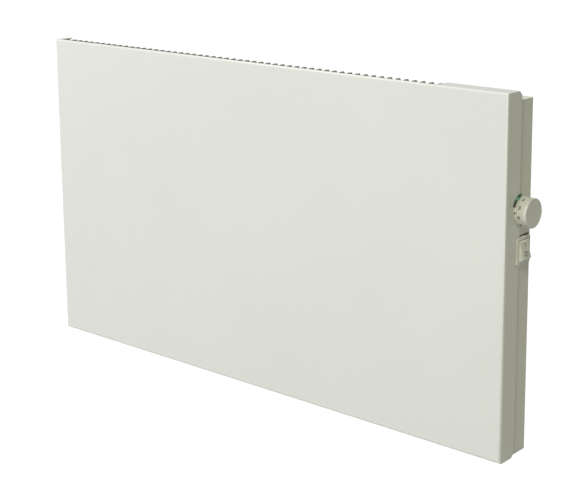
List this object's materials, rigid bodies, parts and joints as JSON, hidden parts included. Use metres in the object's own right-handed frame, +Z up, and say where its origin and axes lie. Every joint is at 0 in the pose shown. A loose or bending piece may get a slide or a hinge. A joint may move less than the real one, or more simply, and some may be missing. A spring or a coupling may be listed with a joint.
{
  "type": "wall panel convector heater",
  "caption": "Flat folded-sheet wall convector heater with a finned top outlet, side thermostat knob, rocker switch, finned element and a wall bracket with sprung catches.",
  "frame": {"origin": "centre of the bracket crossbar's face against the wall, on the heater's vertical centre line", "axes": "+Z up, +Y into the wall (the heater's front faces -Y), +X towards the side with the knob and switch"},
  "size_m": [0.6646, 0.072, 0.3721],
  "materials": {
    "white_paint": "satin powder coat",
    "zinc_sheet": "zinc plated sheet",
    "aluminium": "plain extrusion",
    "steel": "plain",
    "white_plastic": "fine moulded texture",
    "dark_plastic": "moulded",
    "grey_plastic": "moulded",
    "green_lens": "translucent",
    "ceramic": "unglazed",
    "copper_alloy": "plain",
    "wire_red": "heat resistant sleeve",
    "wire_blue": "heat resistant sleeve",
    "wire_green": "heat resistant sleeve"
  },
  "bodies": {
    "casing": {"front_panel": "white_paint", "rear_casing": "white_paint", "outlet_grille": "white_paint", "element_fins": "aluminium", "element_rod": "steel", "insulator_left": "ceramic", "insulator_right": "ceramic", "element_bracket_left": "zinc_sheet", "element_bracket_right": "zinc_sheet", "heat_baffle": "zinc_sheet", "control_partition": "zinc_sheet", "thermal_cutout": "dark_plastic", "thermostat_body": "dark_plastic", "thermostat_collar": "white_plastic", "thermostat_sensor": "copper_alloy", "sensor_clip": "zinc_sheet", "indicator_lens": "green_lens", "indicator_lamp": "grey_plastic", "switch_housing": "white_plastic", "terminal_block": "ceramic", "terminal_screw_1": "copper_alloy", "terminal_screw_2": "copper_alloy", "terminal_screw_3": "copper_alloy", "cable_gland": "dark_plastic", "earth_screw": "copper_alloy", "wire_cutout_to_element": "wire_red", "wire_thermostat_to_cutout": "wire_red", "wire_switch_to_thermostat": "wire_red", "wire_supply_to_switch": "wire_red", "wire_neutral": "wire_blue", "wire_earth": "wire_green", "case_screw_1": "steel", "case_screw_2": "steel", "case_screw_3": "steel", "panel_clip": "zinc_sheet", "wall_bracket": "zinc_sheet", "catch_spring_left": "steel", "catch_spring_right": "steel"},
    "knob": {"thermostat_knob": "white_plastic", "thermostat_spindle": "steel"},
    "rocker": {"switch_rocker": "white_plastic"},
    "catch_left": {"bracket_catch_left": "dark_plastic"},
    "catch_right": {"bracket_catch_right": "dark_plastic"}
  },
  "joints": [
    {"name": "thermostat_turn", "type": "hinge", "parent": "casing", "child": "knob", "pos_m": [0.326, -0.042, 0.061], "axis": [1, 0, 0], "range_deg": [-127.5, 135]},
    {"name": "rocker_tip", "type": "hinge", "parent": "casing", "child": "rocker", "pos_m": [0.3244, -0.0402, 0.022], "axis": [0, 1, 0], "range_deg": [0, 22]},
    {"name": "catch_left_slide", "type": "slide", "parent": "casing", "child": "catch_left", "axis": [0, 0, -1], "range_m": [0, 0.008], "stiffness_N_per_m": 400, "springref_m": -0.01, "deforming": ["catch_spring_left"]},
    {"name": "catch_right_slide", "type": "slide", "parent": "casing", "child": "catch_right", "axis": [0, 0, -1], "range_m": [0, 0.008], "stiffness_N_per_m": 400, "springref_m": -0.01, "deforming": ["catch_spring_right"]}
  ]
}
